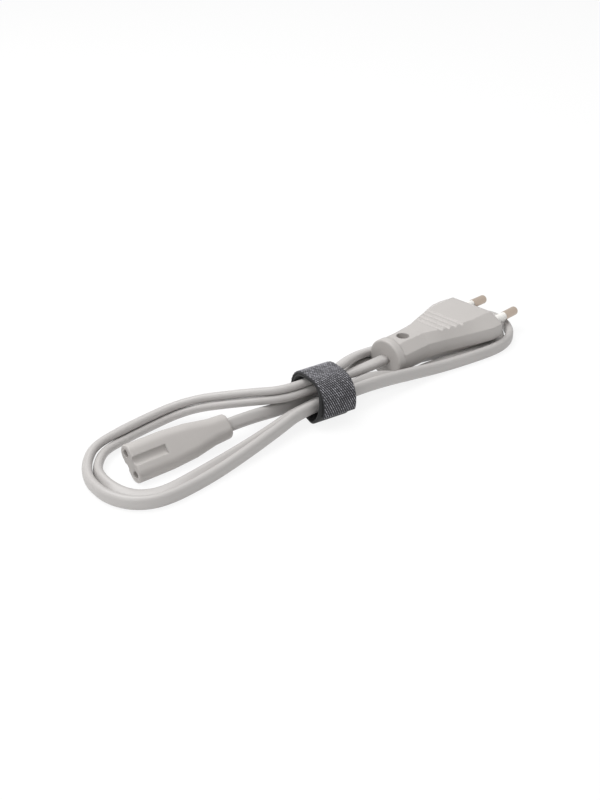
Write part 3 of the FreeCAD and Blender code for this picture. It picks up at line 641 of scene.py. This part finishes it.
class LEAD_OT_stage(bpy.types.Operator):
    """Set the pale floor, the soft light and the camera"""
    bl_idname = "lead.stage"
    bl_label = "Floor, light and camera"

    def execute(self, context):
        scene = context.scene
        scene.view_settings.view_transform = "Standard"
        self.floor()
        self.light(scene)
        self.camera(scene)
        return {"FINISHED"}

    def floor(self):
        material, tree = new_material("white_paper_floor")
        ray = put(tree, "ShaderNodeLightPath")
        seen = put(tree, "ShaderNodeMath", {
            0: ray.outputs["Is Camera Ray"], 1: ray.outputs["Is Glossy Ray"]}, operation="MAXIMUM")
        share = put(tree, "ShaderNodeMath", {
            0: seen.outputs["Value"], 1: FLOOR_WHITE}, operation="MULTIPLY")
        paper = put(tree, "ShaderNodeBsdfDiffuse", {"Color": linear("#f4f4f4")})
        glow = put(tree, "ShaderNodeEmission", {"Color": (1.0, 1.0, 1.0, 1.0), "Strength": 1.0})
        both = put(tree, "ShaderNodeMixShader", {
            0: share.outputs["Value"], 1: paper.outputs["BSDF"], 2: glow.outputs["Emission"]})
        put(tree, "ShaderNodeOutputMaterial", {"Surface": both.outputs["Shader"]})
        shape = bmesh.new()
        bmesh.ops.create_grid(shape, x_segments=2, y_segments=2, size=FLOOR_HALF)
        mesh = mesh_of(shape, "floor")
        mesh_object("floor", mesh, material)

    def light(self, scene):
        world = bpy.data.worlds.new("studio")
        world.use_nodes = True
        tree = world.node_tree
        tree.nodes.clear()
        ray = put(tree, "ShaderNodeLightPath")
        seen = put(tree, "ShaderNodeMath", {
            0: ray.outputs["Is Camera Ray"], 1: ray.outputs["Is Glossy Ray"]}, operation="MAXIMUM")
        strength = put(tree, "ShaderNodeMapRange", {
            "Value": seen.outputs["Value"], "To Min": FILL_LIGHT, "To Max": WHITE_BACKGROUND})
        sky = put(tree, "ShaderNodeBackground", {
            "Color": (1.0, 1.0, 1.0, 1.0), "Strength": strength.outputs["Result"]})
        put(tree, "ShaderNodeOutputWorld", {"Surface": sky.outputs["Background"]})
        scene.world = world
        for name, (place, size, power) in LAMPS.items():
            lamp = bpy.data.lights.new(name, "AREA")
            lamp.size = size
            lamp.energy = power
            obj = bpy.data.objects.new(name, lamp)
            obj.location = place
            obj.rotation_euler = (-Vector(place)).to_track_quat("-Z", "Y").to_euler()
            bpy.context.collection.objects.link(obj)

    def camera(self, scene):
        size = sizes()
        azimuth, elevation, roll = size.camera_azimuth, size.camera_elevation, size.camera_roll
        back = Vector((math.sin(azimuth) * math.cos(elevation), -math.cos(azimuth) * math.cos(elevation),
                       math.sin(elevation)))
        level = Vector((math.cos(azimuth), math.sin(azimuth), 0.0))
        rise = back.cross(level)
        right = level * math.cos(roll) + rise * math.sin(roll)
        up = rise * math.cos(roll) - level * math.sin(roll)
        target = Vector(CAMERA_TARGET) * MM
        camera = bpy.data.cameras.new("camera")
        camera.lens = size.camera_lens
        camera.clip_start = 0.01
        obj = bpy.data.objects.new("camera", camera)
        turn = Matrix((right, up, back)).transposed().to_4x4()
        obj.matrix_world = Matrix.Translation(target + back * size.camera_distance) @ turn
        bpy.context.collection.objects.link(obj)
        scene.camera = obj


class LEAD_PT_panel(bpy.types.Panel):
    """Lists the steps that dress the lead, with the sizes and colours they use"""
    bl_idname = "LEAD_PT_panel"
    bl_label = "Mains lead"
    bl_space_type = "VIEW_3D"
    bl_region_type = "UI"
    bl_category = "Mains lead"

    def draw(self, context):
        for step in STEPS:
            self.layout.operator(step.bl_idname)
        for group in (context.scene.lead_sizes, context.scene.lead_colours):
            box = self.layout.box()
            for name in group.bl_rna.properties.keys():
                if name not in ("rna_type", "name"):
                    box.prop(group, name)


STEPS = (LEAD_OT_cord, LEAD_OT_tie, LEAD_OT_mouldings, LEAD_OT_stage)
CLASSES = (LeadSizes, LeadColours) + STEPS + (LEAD_PT_panel,)


def register():
    for cls in CLASSES:
        bpy.utils.register_class(cls)
    bpy.types.Scene.lead_sizes = PointerProperty(type=LeadSizes)
    bpy.types.Scene.lead_colours = PointerProperty(type=LeadColours)


def unregister():
    del bpy.types.Scene.lead_colours
    del bpy.types.Scene.lead_sizes
    for cls in reversed(CLASSES):
        bpy.utils.unregister_class(cls)


def main():
    register()
    bpy.ops.lead.cord()
    bpy.ops.lead.tie()
    bpy.ops.lead.mouldings()
    bpy.ops.lead.stage()


if __name__ == "__main__":
    main()
